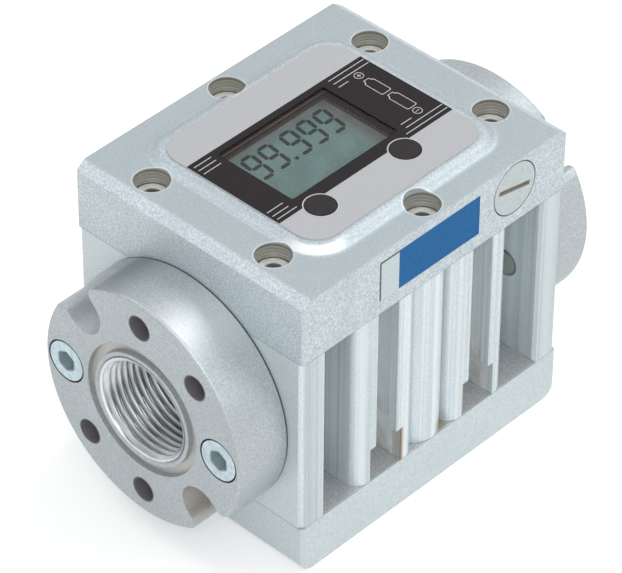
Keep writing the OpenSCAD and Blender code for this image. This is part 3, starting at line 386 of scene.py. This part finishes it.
def flange_aluminium(name, side):
    """Cast and blasted flange: duller than the covers, with painted shade in and around its bored
    holes and at its screw heads, and a turned face groove with painted light on its floor and
    painted shade on its walls. The slanted holes of the two flanges mirror each other, and side,
    which is -1 or 1, turns them over."""
    material, tree, place = start_material(name)
    colour, grit = blasted_grain(tree, place, "#b8bfc2", "#a1a9ac")
    axis, across = (0, 0, FLOW_Z), (0, 1, 1)
    around = folded(tree, place, axis)
    slanted = folded(tree, place, axis, (side * 45, 0, 0))
    # Painted shade inside the bored holes and in a dark ring around them
    holes, edges = [together(tree, [near(tree, turned, [(0, 0, BOLT_RADIUS)], radius, 0.04, across)
                                    for turned in (around, slanted)], "MAXIMUM")
                    for radius in (FLANGE_HOLE_RADIUS + 0.05, FLANGE_HOLE_RADIUS + 0.35)]
    x = add(tree, "SeparateXYZ", {"Vector": around}, "X")
    inside = between(tree, x, None, FLANGE_FACE - 0.25)
    flat = add(tree, "VectorMath", {0: around, 1: across}, operation="MULTIPLY")
    reach = add(tree, "VectorMath", {0: flat}, "Value", operation="LENGTH")
    # Painted light on the face groove's floor and painted shade on its walls
    groove = between(tree, reach, GROOVE_RADIUS - GROOVE_HALF, GROOVE_RADIUS + GROOVE_HALF, 0.05)
    wall = between(tree, x, FLANGE_FACE - GROOVE_DEPTH + 0.15, FLANGE_FACE - 0.15, 0.08)
    # Painted shade: the counterbores around the screw heads are painted nearly black
    heads = near(tree, around, [(0, BOLT_RADIUS, 0)], HEAD_HOLE_RADIUS, 0.05, across)
    seam = between(tree, x, None, FLANGE_BACK + 0.5)
    # Painted shade darkens the inlet's rim at its upper left and a painted highlight brightens it
    # further towards the front; painted light brightens the cut-outs' walls, and dirt tints one of
    # them
    inlet = between(tree, add(tree, "SeparateXYZ", {"Vector": place}, "X"), None, 0)
    top = near(tree, place, [(0, 21, FLOW_Z + 33)], 11, 8, across)
    shine = near(tree, place, [(0, -15, FLOW_Z + 36)], 9, 8, across)
    notches = near(tree, place, [(0, way * NOTCH_REACH, FLOW_Z + way * NOTCH_REACH)
                                 for way in (1, -1)], 11, 2, across)
    stain = near(tree, place, [(0, 1 - NOTCH_REACH, FLOW_Z + 1 - NOTCH_REACH)], 9, 3, across)
    colour = overlay(tree, colour, ("#767e84", 0.75, top, inside, inlet),
                     ("#e6ebed", 0.4, shine, inside, inlet), ("#dbe1e3", 0.3, notches, inside),
                     ("#8a765c", 0.5, stain, inside), ("#c6c1bb", 0.7, groove, inside),
                     ("#3d3935", 1.0, groove, wall), ("#5c585a", 0.8, edges),
                     ("#8f8b8f", 1.0, holes, inside), ("#2b3136", 1.0, heads),
                     ("#33373a", 0.9, seam))
    metal_surface(tree, colour, 0.45, grit, 0.1, 0.16, 0.5, ANODISED)
    return material


def cut_thread_aluminium():
    """Bare cut thread: bright, with the tool's fine marks along the turns, a painted highlight on
    its bevelled mouth, painted shade deep in the bore, and darker towards the bottom."""
    material, tree, place = start_material("cut_thread_aluminium")
    marks, height = mottle(tree, place, 0.9, 0.2, 0.8, 1.0, (1.2, 0.3, 0.3))
    x, _, z = add(tree, "SeparateXYZ", {"Vector": folded(tree, place)}).node.outputs
    # Painted highlight on the bevelled mouth
    mouth = between(tree, x, FLANGE_FACE - 0.7, None)
    # Painted shade deep in the bore
    deep = between(tree, x, None, FLANGE_FACE - 9, 8)
    # Darker towards the bottom of the bore
    low = between(tree, z, None, FLOW_Z - 15, 1.5)
    level = between(tree, z, FLOW_Z - 14, FLOW_Z - 3, 3)
    colour = overlay(tree, linear("#cbcfd1"), ("#dfe3e5", 1.0, marks), ("#9da1a3", 0.2, deep),
                     ("#7f8487", 0.7, low), ("#8b9093", 0.7, level), ("#d9dddf", 1.0, mouth))
    metal_surface(tree, colour, 0.34, height, 0.02, 0.03, 0.1)
    return material


def plated_steel(name, light, dark, dull, metallic, sockets, socket_radius, keep, ends=None):
    """Zinc or nickel on a pressed steel head: bright, with faint clouds from the plating. The
    hexagon sockets are less metallic inside and carry painted shade, and a screw's end is darker
    where it comes out in a pocket."""
    material, tree, place = start_material(name)
    clouds, height = mottle(tree, place, 1.6, 0.35, 0.68, 3.0)
    around = folded(tree, place)
    # Painted shade inside the hexagon sockets
    inside = near(tree, around, sockets, socket_radius, 0.12, keep)
    colour = overlay(tree, linear(light), (dark, 1.0, clouds), (dull, 0.9, inside))
    if ends:
        x = add(tree, "SeparateXYZ", {"Vector": around}, "X")
        colour = overlay(tree, colour, ("#8d908c", 0.9, between(tree, x, None, ends)))
    metallic = add(tree, "MapRange", {"Value": inside, "To Min": metallic, "To Max": 0.2},
                   "Result")
    metal_surface(tree, colour, 0.3, height, 0.05, 0.08, 0.45, metallic)
    return material


def machined_metal(name, light, dark, roughness, line=0.4, stretch=(1, 1, 0.05)):
    """Ground or turned metal for the inner parts, with tool lines a set width apart."""
    material, tree, place = start_material(name)
    marks, height = mottle(tree, place, line, 0.35, 0.65, 2.0, stretch)
    colour = overlay(tree, linear(light), (dark, 1.0, marks))
    metal_surface(tree, colour, roughness, height, 0.05, 0.1, 0.2)
    return material


def moulded_plastic(name, light, dark, roughness, grain=0.8, ior=1.5):
    """Moulded plastic: even colour with a fine spark-eroded grain from the mould."""
    material, tree, place = start_material(name)
    texture, height = mottle(tree, place, grain, detail=3.0)
    plastic_surface(tree, overlay(tree, linear(dark), (light, 1.0, texture)), roughness, ior,
                    height)
    return material


def printed_film(name, light, dark, roughness=0.42, ior=1.5):
    """Screen printed polyester film: flat colour with a very fine matt texture."""
    return moulded_plastic(name, light, dark, roughness, 0.45, ior)


def overlay_film():
    """The printed overlay: matt grey polyester whose cut edge at the window is inked black."""
    material, tree, place = start_material("grey_overlay_film")
    x, y, _ = add(tree, "SeparateXYZ", {"Vector": place}).node.outputs
    texture, height = mottle(tree, place, 0.45, detail=3.0)
    x0, y0, x1, y1 = WINDOW
    edge = [between(tree, x, x0 - 0.3, x1 + 0.3), between(tree, y, y0 - 0.3, y1 + 0.3)]
    colour = overlay(tree, linear("#aeb0b3"), ("#b5b6b9", 1.0, texture), ("#1d181b", 1.0, *edge))
    plastic_surface(tree, colour, 0.42, 1.5, height)
    return material


def side_label_film():
    """Printed label: a plain pale tab with a thin dark outline beside a plain blue field, under
    a thin clear film."""
    material, tree, place = start_material("printed_label_film")
    x, _, z = add(tree, "SeparateXYZ", {"Vector": place}).node.outputs
    texture, height = mottle(tree, place, 0.5)
    left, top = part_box("side_label")[0].x / MM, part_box("side_label")[1].z / MM
    tab_width, line = 7.68, 0.45
    tab = between(tree, x, None, left + tab_width)
    edges = together(tree, [between(tree, x, None, left + line),
                            between(tree, z, top - line, None)], "MAXIMUM")
    colour = overlay(tree, linear("#06548a"), ("#0e6098", 1.0, texture), ("#b9c5c8", 1.0, tab),
                     ("#c2cccf", 1.0, tab, texture), ("#3a3d3f", 0.9, tab, edges))
    plastic_surface(tree, colour, 0.5, 1.25, height)
    return material


def display_glass():
    """Liquid crystal glass over its reflector: green grey with a fine blue green sparkle, and
    lilac grey where the reflector ends along its edges."""
    material, tree, place = start_material("liquid_crystal_glass")
    x, y, _ = add(tree, "SeparateXYZ", {"Vector": place}).node.outputs
    sparkle, height = mottle(tree, place, 0.62, 0.42, 0.62, 3.0)
    flecks, _ = mottle(tree, place, 0.6, 0.58, 0.68, 2.0)
    clouds, _ = mottle(tree, place, 6)
    x0, _, x1, y1 = WINDOW
    rim = together(tree, [between(tree, x, x1 - 4.5, None, 1.7),
                          between(tree, y, y1 - 2.0, None, 0.6),
                          between(tree, x, None, x0 + 4.3, 0.3)], "MAXIMUM")
    colour = overlay(tree, linear("#748589"), ("#7d9292", 1.0, clouds), ("#4f7f8c", 0.75, sparkle),
                     ("#949f9e", 0.6, flecks), ("#8d8a8f", 0.7, rim))
    plastic_surface(tree, colour, 0.3, 1.4, height)
    return material


def ledge_plastic():
    """Moulded ledge inside the window: nearly black, with painted light in brown on its rear edge,
    where light comes through the window."""
    material, tree, place = start_material("black_ledge_plastic_painted_light")
    y = add(tree, "SeparateXYZ", {"Vector": place}, "Y")
    texture, height = mottle(tree, place, 0.8, detail=3.0)
    # Painted light on the rear edge
    rear = between(tree, y, WINDOW[3] - 0.3, None)
    colour = overlay(tree, linear("#2c2021"), ("#352728", 1.0, texture), ("#7e6254", 1.0, rear))
    plastic_surface(tree, colour, 0.55, 1.35, height)
    return material


def clear_acrylic():
    """The moulded acrylic window: clear, with a weak even reflection of the room."""
    material, tree, place = start_material("clear_acrylic")
    haze, _ = mottle(tree, place, 6)
    tint = overlay(tree, linear("#eef2ef"), ("#f6f8f6", 1.0, haze))
    through = add(tree, "BsdfTransparent", {"Color": tint})
    shine = add(tree, "BsdfGlossy", {"Color": linear("#ffffff"), "Roughness": 0.06})
    surface = add(tree, "MixShader", {0: 0.03, 1: through, 2: shine})
    add(tree, "OutputMaterial", {"Surface": surface})
    return material


def varnished_board():
    """Glass-filled epoxy board with green varnish and the weave faintly showing through."""
    material, tree, place = start_material("varnished_board")
    colour = add(tree, "TexChecker", {"Vector": place, "Scale": 1 / (0.8 * MM),
                                      "Color1": linear("#1f5a35"), "Color2": linear("#236239")})
    _, height = mottle(tree, place, 0.8)
    plastic_surface(tree, colour, 0.35, 1.55, height)
    return material


def cell_jacket():
    """Shrunk plastic jacket of a size N cell: dark blue with a copper coloured end band."""
    material, tree, place = start_material("shrunk_cell_jacket")
    y = add(tree, "SeparateXYZ", {"Vector": place}, "Y")
    texture, height = mottle(tree, place, 1.5)
    ends = [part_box(name)[1].y / MM for name in ("battery_front", "battery_rear")]
    bands = together(tree, [between(tree, y, end - 7, end - 1.5) for end in ends], "MAXIMUM")
    colour = overlay(tree, linear("#24384f"), ("#2c4560", 1.0, texture), ("#a8683a", 1.0, bands))
    plastic_surface(tree, colour, 0.3, 1.53, height)
    return material


def battery_cap_aluminium():
    """Turned and blasted cap: as pale as the cover around it, with a dull coin slot."""
    material, tree, place = start_material("turned_cap_aluminium")
    colour, grit = blasted_grain(tree, place, "#bdc6c7", "#adb7b8")
    around = folded(tree, place, CAP_PLACE, (0, -CAP_SLOT_ANGLE, 0))
    x, y, z = add(tree, "SeparateXYZ", {"Vector": around}).node.outputs
    slot = [between(tree, z, None, CAP_SLOT_HALF + 0.06, 0.04),
            between(tree, x, None, CAP_SLOT_REACH + 0.05, 0.05),
            between(tree, y, 0.12, None, 0.08)]
    colour = overlay(tree, colour, ("#b3ada2", 1.0, *slot))
    metal_surface(tree, colour, 0.5, grit, 0.08, 0.12, 0.25, ANODISED)
    return material


# ---------------------------------------------------------------------------------------------
# Pieces of the meter that the CAD model keeps plain
# ---------------------------------------------------------------------------------------------
PITCH = 2.309  # G1 pipe thread, 11 turns to the inch
CREST_RADIUS, ROOT_RADIUS, SHELL_RADIUS = 15.15, 16.56, 16.6
THREAD_INSET = 0.02
TURN_STEPS, STEPS_PER_PITCH = 144, 12


def pipe_thread(name, face_x, back_x, material):
    """The thread inside a flange. With u the angle and s the way along the bore, the radius is
    crest + depth * w((s / pitch) - (u / full turn)), where w is a rounded triangle wave between 0
    and 1; near the mouth a cone with a slope of 2 cuts the crests away."""
    length = abs(back_x - face_x)
    rows = int(length / PITCH * STEPS_PER_PITCH)
    s = np.linspace(0, length, rows)
    u = np.linspace(0, 2 * np.pi, TURN_STEPS, endpoint=False)
    phase = 2 * np.pi * (s[:, None] / PITCH) - u[None, :]
    wave = 0.5 - 0.45 * (np.cos(phase) + np.cos(3 * phase) / 9)
    radius = CREST_RADIUS + (ROOT_RADIUS - CREST_RADIUS) * wave
    mouth = ROOT_RADIUS - 2 * s[:, None] * np.ones_like(radius)
    radius = np.minimum(np.maximum(radius, mouth), ROOT_RADIUS)
    # Closed at both ends and along the bore's wall
    radius = np.vstack([radius, np.full((1, TURN_STEPS), SHELL_RADIUS),
                        np.full((1, TURN_STEPS), SHELL_RADIUS)])
    along = np.concatenate([s, [length, 0]])
    x = face_x + np.sign(back_x - face_x) * along[:, None] * np.ones_like(radius)
    points = np.stack([x, radius * np.cos(u), FLOW_Z + radius * np.sin(u)], -1)
    return piece(name, points, grid_faces(rows + 2, TURN_STEPS, True, True), "meter", material,
                 60.0)


INK = 0.03  # The thickness of one printed layer
PANEL_LEFT, PANEL_RIGHT, PANEL_FRONT, PANEL_BACK = -35.3, 35.3, -16.9, 18.7
RING_IN, RING_OUT = 4.78, 5.12


def panel_outline():
    """The black panel's outline: a rectangle whose front edge steps round the two buttons."""
    drop = PANEL_FRONT - BUTTON_Y
    reach = math.degrees(math.asin(drop / RING_OUT))
    parts = [np.array([(PANEL_LEFT, PANEL_FRONT)])]
    for x in sorted(BUTTON_XS.values()):
        parts.append(circle_outline(x, BUTTON_Y, RING_OUT, 24, 180 - reach, reach))
    parts.append(np.array([(PANEL_RIGHT, PANEL_FRONT), (PANEL_RIGHT, PANEL_BACK),
                           (PANEL_LEFT, PANEL_BACK)]))
    return np.concatenate(parts)


def thin_lines():
    """The groups of three thin lines in the panel's corners, each as its four corners."""
    half = 0.14  # Half a line's width; the rows give each line's two ends and its place
    rows = [(-34.2, -27.4, 16.9), (-34.2, -27.4, 15.0), (-34.2, -27.4, 13.0),
            (-34.4, -28.2, -11.4), (-34.4, -28.2, -13.5), (-34.4, -26.7, -15.3),
            (20.3, 34.9, 17.1), (20.3, 34.9, 15.1), (20.3, 24.3, 13.1),
            (19.9, 24.3, -11.2), (19.9, 34.9, -13.2), (17.8, 34.9, -15.2)]
    return [bar_outline(x0, y - half, x1, y + half) for x0, x1, y in rows]


def cell_outline(x, y0, y1, inset):
    """One cell of the battery symbol: a bar whose far end steps in to its terminal, drawn inset
    by a width for the inner edge of its line."""
    half, nub, low, high = 1.95 - inset, 1.15 - inset, y0 + inset, y1 - inset
    right = [(half - 0.4, low), (half, low + 0.4), (half, high - 1.5), (nub, high - 0.6),
             (nub, high)]
    return np.array([(x + u, v) for u, v in right] + [(x - u, v) for u, v in right[::-1]])


def battery_symbol():
    """Two cells in line between a plus and a minus disc, as plain outlines."""
    plus, minus, disc, arm, line = (28.3, 12.76), (28.0, -10.14), 1.5, 0.8, 0.11
    marks = []
    for x, y in (plus, minus):
        marks += [circle_outline(x, y, disc), circle_outline(x, y, disc - 2 * line),
                  bar_outline(x - arm, y - line, x + arm, y + line)]
    x, y = plus
    marks += [bar_outline(x - line, y + line, x + line, y + arm),
              bar_outline(x - line, y - arm, x + line, y - line)]
    for y0, y1 in ((-8.04, 0.76), (1.8, 10.06)):
        marks += [cell_outline(x, y0, y1, 0), cell_outline(x, y0, y1, 2 * line)]
    return marks


# Seven-segment digits, in millimetres from the digit's lower left corner before the slant,
# which leans them to the right by this share of their height
DIGIT_WIDE, DIGIT_HIGH, SEGMENT, SEGMENT_GAP, SLANT = 5.6, 11.55, 1.3, 0.17, 0.12
NINE = "abcdfg"


def segment_outlines(letters):
    """Outlines of the named segments: bars with pointed ends, a at the top and then clockwise
    to f, with g in the middle."""
    w, h, t, g = DIGIT_WIDE, DIGIT_HIGH, SEGMENT, SEGMENT_GAP
    half = t / 2

    def level(y):
        return np.array([(half + g, y), (t + g, y + half), (w - t - g, y + half),
                         (w - half - g, y), (w - t - g, y - half), (t + g, y - half)])

    def upright(x, y0, y1):
        return np.array([(x, y0 + g), (x + half, y0 + half + g), (x + half, y1 - half - g),
                         (x, y1 - g), (x - half, y1 - half - g), (x - half, y0 + half + g)])

    shapes = {"a": level(h - half), "g": level(h / 2), "d": level(half),
              "f": upright(half, h / 2, h - half), "b": upright(w - half, h / 2, h - half),
              "e": upright(half, half, h / 2), "c": upright(w - half, half, h / 2)}
    return [shapes[letter] for letter in letters]


def reading():
    """The plain test reading on the display: five nines with a point after the second."""
    left, base, pitch, point_gap = -21.2, 2.75, 6.75, 2.1
    marks = []
    for i in range(5):
        x = left + i * pitch + (point_gap if i > 1 else 0)
        for outline in segment_outlines(NINE):
            slanted = outline + np.stack([outline[:, 1] * SLANT + x, 0 * outline[:, 0] + base], 1)
            marks.append(slanted)
    point = bar_outline(-7.6, 2.8, -6.35, 4.05)
    return marks + [point]


def window_ledge(material):
    """The fine ridge inside the window's opening: a rounded rectangular ring, one closed profile
    carried along the outline."""
    x0, y0, x1, y1 = WINDOW
    low, high, wide = GLASS_FACE + 2.5, GLASS_FACE + 2.95, 0.13
    outer = rounded_outline(x0 + 0.01, y0 + 0.01, x1 - 0.01, y1 - 0.01, 0.6)
    inner = rounded_outline(x0 + wide, y0 + wide, x1 - wide, y1 - wide, 0.5)
    rings = [(outer, low), (inner, low), (inner, high), (outer, high)]
    points = np.stack([np.column_stack([plan, np.full(len(plan), z)]) for plan, z in rings], 1)
    return piece("window_ledge", points, grid_faces(len(outer), 4, True, True), "meter", material,
                 30.0)


# ---------------------------------------------------------------------------------------------
# Studio
# ---------------------------------------------------------------------------------------------
CAMERA_PLACE = (-682.92, -637.875, 838.28)
CAMERA_RIGHT = (0.688629, -0.725089, 0.005941)
CAMERA_UP = (0.465073, 0.447943, 0.763580)
CAMERA_LENS = 246.28
SENSOR_WIDTH = 36.0
LAMP_AIM = (0.0, 0.0, 0.05)


def place_camera():
    """A long lens from the front left, 40 degrees above the level, as in the photograph."""
    data = bpy.data.cameras.new("camera")
    data.lens, data.sensor_width = CAMERA_LENS, SENSOR_WIDTH
    data.clip_start, data.clip_end = 0.05, 20.0
    camera = bpy.data.objects.new("camera", data)
    bpy.context.scene.collection.objects.link(camera)
    right, up = Vector(CAMERA_RIGHT).normalized(), Vector(CAMERA_UP).normalized()
    turn = Matrix((right, up, right.cross(up))).transposed().to_4x4()
    camera.matrix_world = Matrix.Translation(Vector(CAMERA_PLACE) * MM) @ turn
    bpy.context.scene.camera = camera


def softbox(name, place, size, watts):
    """A square white area lamp turned to the meter; its place and size are in metres."""
    data = bpy.data.lights.new(name, "AREA")
    data.size, data.energy = size, watts
    lamp = bpy.data.objects.new(name, data)
    bpy.context.scene.collection.objects.link(lamp)
    lamp.location = place
    lamp.rotation_euler = (Vector(LAMP_AIM) - Vector(place)).to_track_quat("-Z", "Y").to_euler()


def seen_straight(tree):
    """1 for rays from the camera, or mirrored or let through on their way, and 0 for light."""
    path = add(tree, "LightPath").node.outputs
    return together(tree, [path[kind] for kind in ("Is Camera Ray", "Is Glossy Ray",
                                                   "Is Transmission Ray")], "MAXIMUM")


ROOM_LIGHT = 0.6   # The room's strength as light; it is seen at a strength of 1
FLOOR_LIFT = 0.28  # How much white the floor adds where it is seen, to meet the white room


def build_studio():
    """A white floor that keeps the meter's shadow, an even pale room and soft lamps."""
    world = bpy.data.worlds.new("room")
    bpy.context.scene.world = world
    world.use_nodes = True
    tree = world.node_tree
    tree.nodes.clear()
    strength = add(tree, "MapRange", {"Value": seen_straight(tree), "To Min": ROOM_LIGHT,
                                      "To Max": 1.0}, "Result")
    back = add(tree, "Background", {"Color": linear("#ffffff"), "Strength": strength})
    add(tree, "OutputWorld", {"Surface": back})

    half = 4.0
    mesh = bpy.data.meshes.new("floor")
    mesh.from_pydata([(-half, -half, 0), (half, -half, 0), (half, half, 0), (-half, half, 0)], [],
                     [(0, 1, 2, 3)])
    floor = bpy.data.objects.new("floor", mesh)
    bpy.context.scene.collection.objects.link(floor)
    material, tree, _ = start_material("matt_white_board")
    matt = add(tree, "BsdfDiffuse", {"Color": linear("#f2f2f2")})
    lift = add(tree, "Emission", {"Color": linear("#ffffff"), "Strength": together(
        tree, [seen_straight(tree), FLOOR_LIFT])})
    add(tree, "OutputMaterial", {"Surface": add(tree, "AddShader", {0: matt, 1: lift})})
    mesh.materials.append(material)

    softbox("key_from_the_front_right", (1.06, -1.22, 0.99), 1.2, 7.1)
    softbox("wide_light_over_the_camera", (-1.23, -1.14, 1.41), 1.2, 10.6)
    softbox("low_fill_from_the_left", (-1.45, -1.0, 0.3), 1.2, 6)
    softbox("high_glint_from_the_right", (1.0, -0.1, 1.5), 0.65, 6.3)
    softbox("high_glint_from_the_back_left", (-0.45, 0.9, 1.5), 0.6, 3.0)
    softbox("small_glint_over_the_camera", (-1.03, -1.1, 1.78), 0.5, 1.2)
    bpy.context.scene.view_settings.view_transform = "Standard"


# ---------------------------------------------------------------------------------------------
# Putting it together
# ---------------------------------------------------------------------------------------------
def dress(material, *names):
    """Gives CAD nodes their material; their meshes stay as they are."""
    for name in names:
        slots = nodes[name].material_slots
        if not slots:
            nodes[name].data.materials.append(material)
        for slot in slots:
            slot.material = material


place_camera()
build_studio()

dress(extruded_aluminium(), "meter_body")
dress(cast_cover_aluminium("blasted_top_cover", "#cad4d8", "#a8b3b9", LID_TOP, LID_BASE),
      "top_cover")
dress(cast_cover_aluminium("blasted_bottom_cover", "#c9d2d4", "#b8c2c5", 0.0, BODY_BASE),
      "bottom_cover")
dress(flange_aluminium("blasted_inlet_flange", -1), "inlet_flange")
dress(flange_aluminium("blasted_outlet_flange", 1), "outlet_flange")
zinc = plated_steel("zinc_plated_steel", "#c4d5dc", "#adbfc7", "#9baab0", 0.6,
                    [(0, BOLT_RADIUS, FLOW_Z)], 3.5, (0, 1, 1), 46.0)
nickel = plated_steel("nickel_plated_steel", "#ffffff", "#f2f2ef", "#83817c", 0.4,
                      (CORNER_SCREW, MIDDLE_SCREW), 2.9, (1, 1, 0))
dress(zinc, "inlet_flange_screws", "outlet_flange_screws")
dress(nickel, "top_cover_screws", "bottom_cover_screws", "board_screws")
dress(moulded_plastic("nitrile_rubber", "#2b2b2c", "#1b1b1c", 0.8, 1.2, 1.52), "top_seal",
      "bottom_seal", "inlet_seal", "outlet_seal", "battery_cap_seal")
dress(machined_metal("ground_pin_steel", "#c9cbcd", "#b2b5b8", 0.22), "gear_pin_front",
      "gear_pin_rear")
dress(machined_metal("sintered_gear_steel", "#8b8d90", "#6d7074", 0.45, 0.5, (1, 1, 1)),
      "metering_gear_front", "metering_gear_rear")
dress(machined_metal("bearing_bronze", "#b98a4a", "#9c7038", 0.35), "gear_bush_front",
      "gear_bush_rear")
dress(machined_metal("nickelled_magnet", "#c4c3bf", "#aeadab", 0.25), "gear_magnets")
dress(overlay_film(), "display_overlay")
dress(clear_acrylic(), "display_window")
dark_frame = moulded_plastic("black_frame_plastic", "#3d2829", "#301f20", 0.6, 0.8, 1.2)
dress(dark_frame, "display_frame")
dress(display_glass(), "lcd_module")
dress(varnished_board(), "circuit_board")
switch_plastic = moulded_plastic("switch_plastic", "#2f3032", "#262729", 0.45)
dress(switch_plastic, "reset_switch", "calibration_switch", "pulse_sensor")
key_plastic = moulded_plastic("black_key_plastic", "#242022", "#1c181a", 0.5, 0.8, 1.33)
dress(key_plastic, "reset_button", "calibration_button")
dress(cell_jacket(), "battery_front", "battery_rear")
dress(machined_metal("nickelled_spring_steel", "#d2cdbd", "#b3ad9c", 0.3, 0.3, (1, 1, 1)),
      "battery_contact", "contact_spring")
dress(battery_cap_aluminium(), "battery_cap")
dress(side_label_film(), "side_label")

thread_metal = cut_thread_aluminium()
thread_face, thread_back = FLANGE_FACE - THREAD_INSET, FLANGE_BACK + THREAD_INSET
pipe_thread("inlet_thread_turns", -thread_face, -thread_back, thread_metal)
pipe_thread("outlet_thread_turns", thread_face, thread_back, thread_metal)

black_ink = printed_film("black_panel_ink", "#201a1e", "#181316", 0.5, 1.28)
white_ink = printed_film("white_line_ink", "#c9c7c7", "#bdbbbb", 0.5)
flat_print("panel_print", [panel_outline(), rounded_outline(*WINDOW, 0.5)],
           OVERLAY_TOP, OVERLAY_TOP + INK, "meter", black_ink)
flat_print("panel_lines", thin_lines() + battery_symbol(), OVERLAY_TOP + INK,
           OVERLAY_TOP + 2 * INK, "meter", white_ink)
for body, x in BUTTON_XS.items():
    flat_print(body + "_ring", [circle_outline(x, BUTTON_Y, RING_OUT, 72),
                                circle_outline(x, BUTTON_Y, RING_IN, 72)],
               OVERLAY_TOP, OVERLAY_TOP + 2 * INK, "meter", white_ink)
lcd_ink = moulded_plastic("liquid_crystal_segment", "#141c1b", "#0e1514", 0.55, 0.8, 1.2)
flat_print("reading_digits", reading(), GLASS_FACE, GLASS_FACE + INK, "meter", lcd_ink)
window_ledge(ledge_plastic())
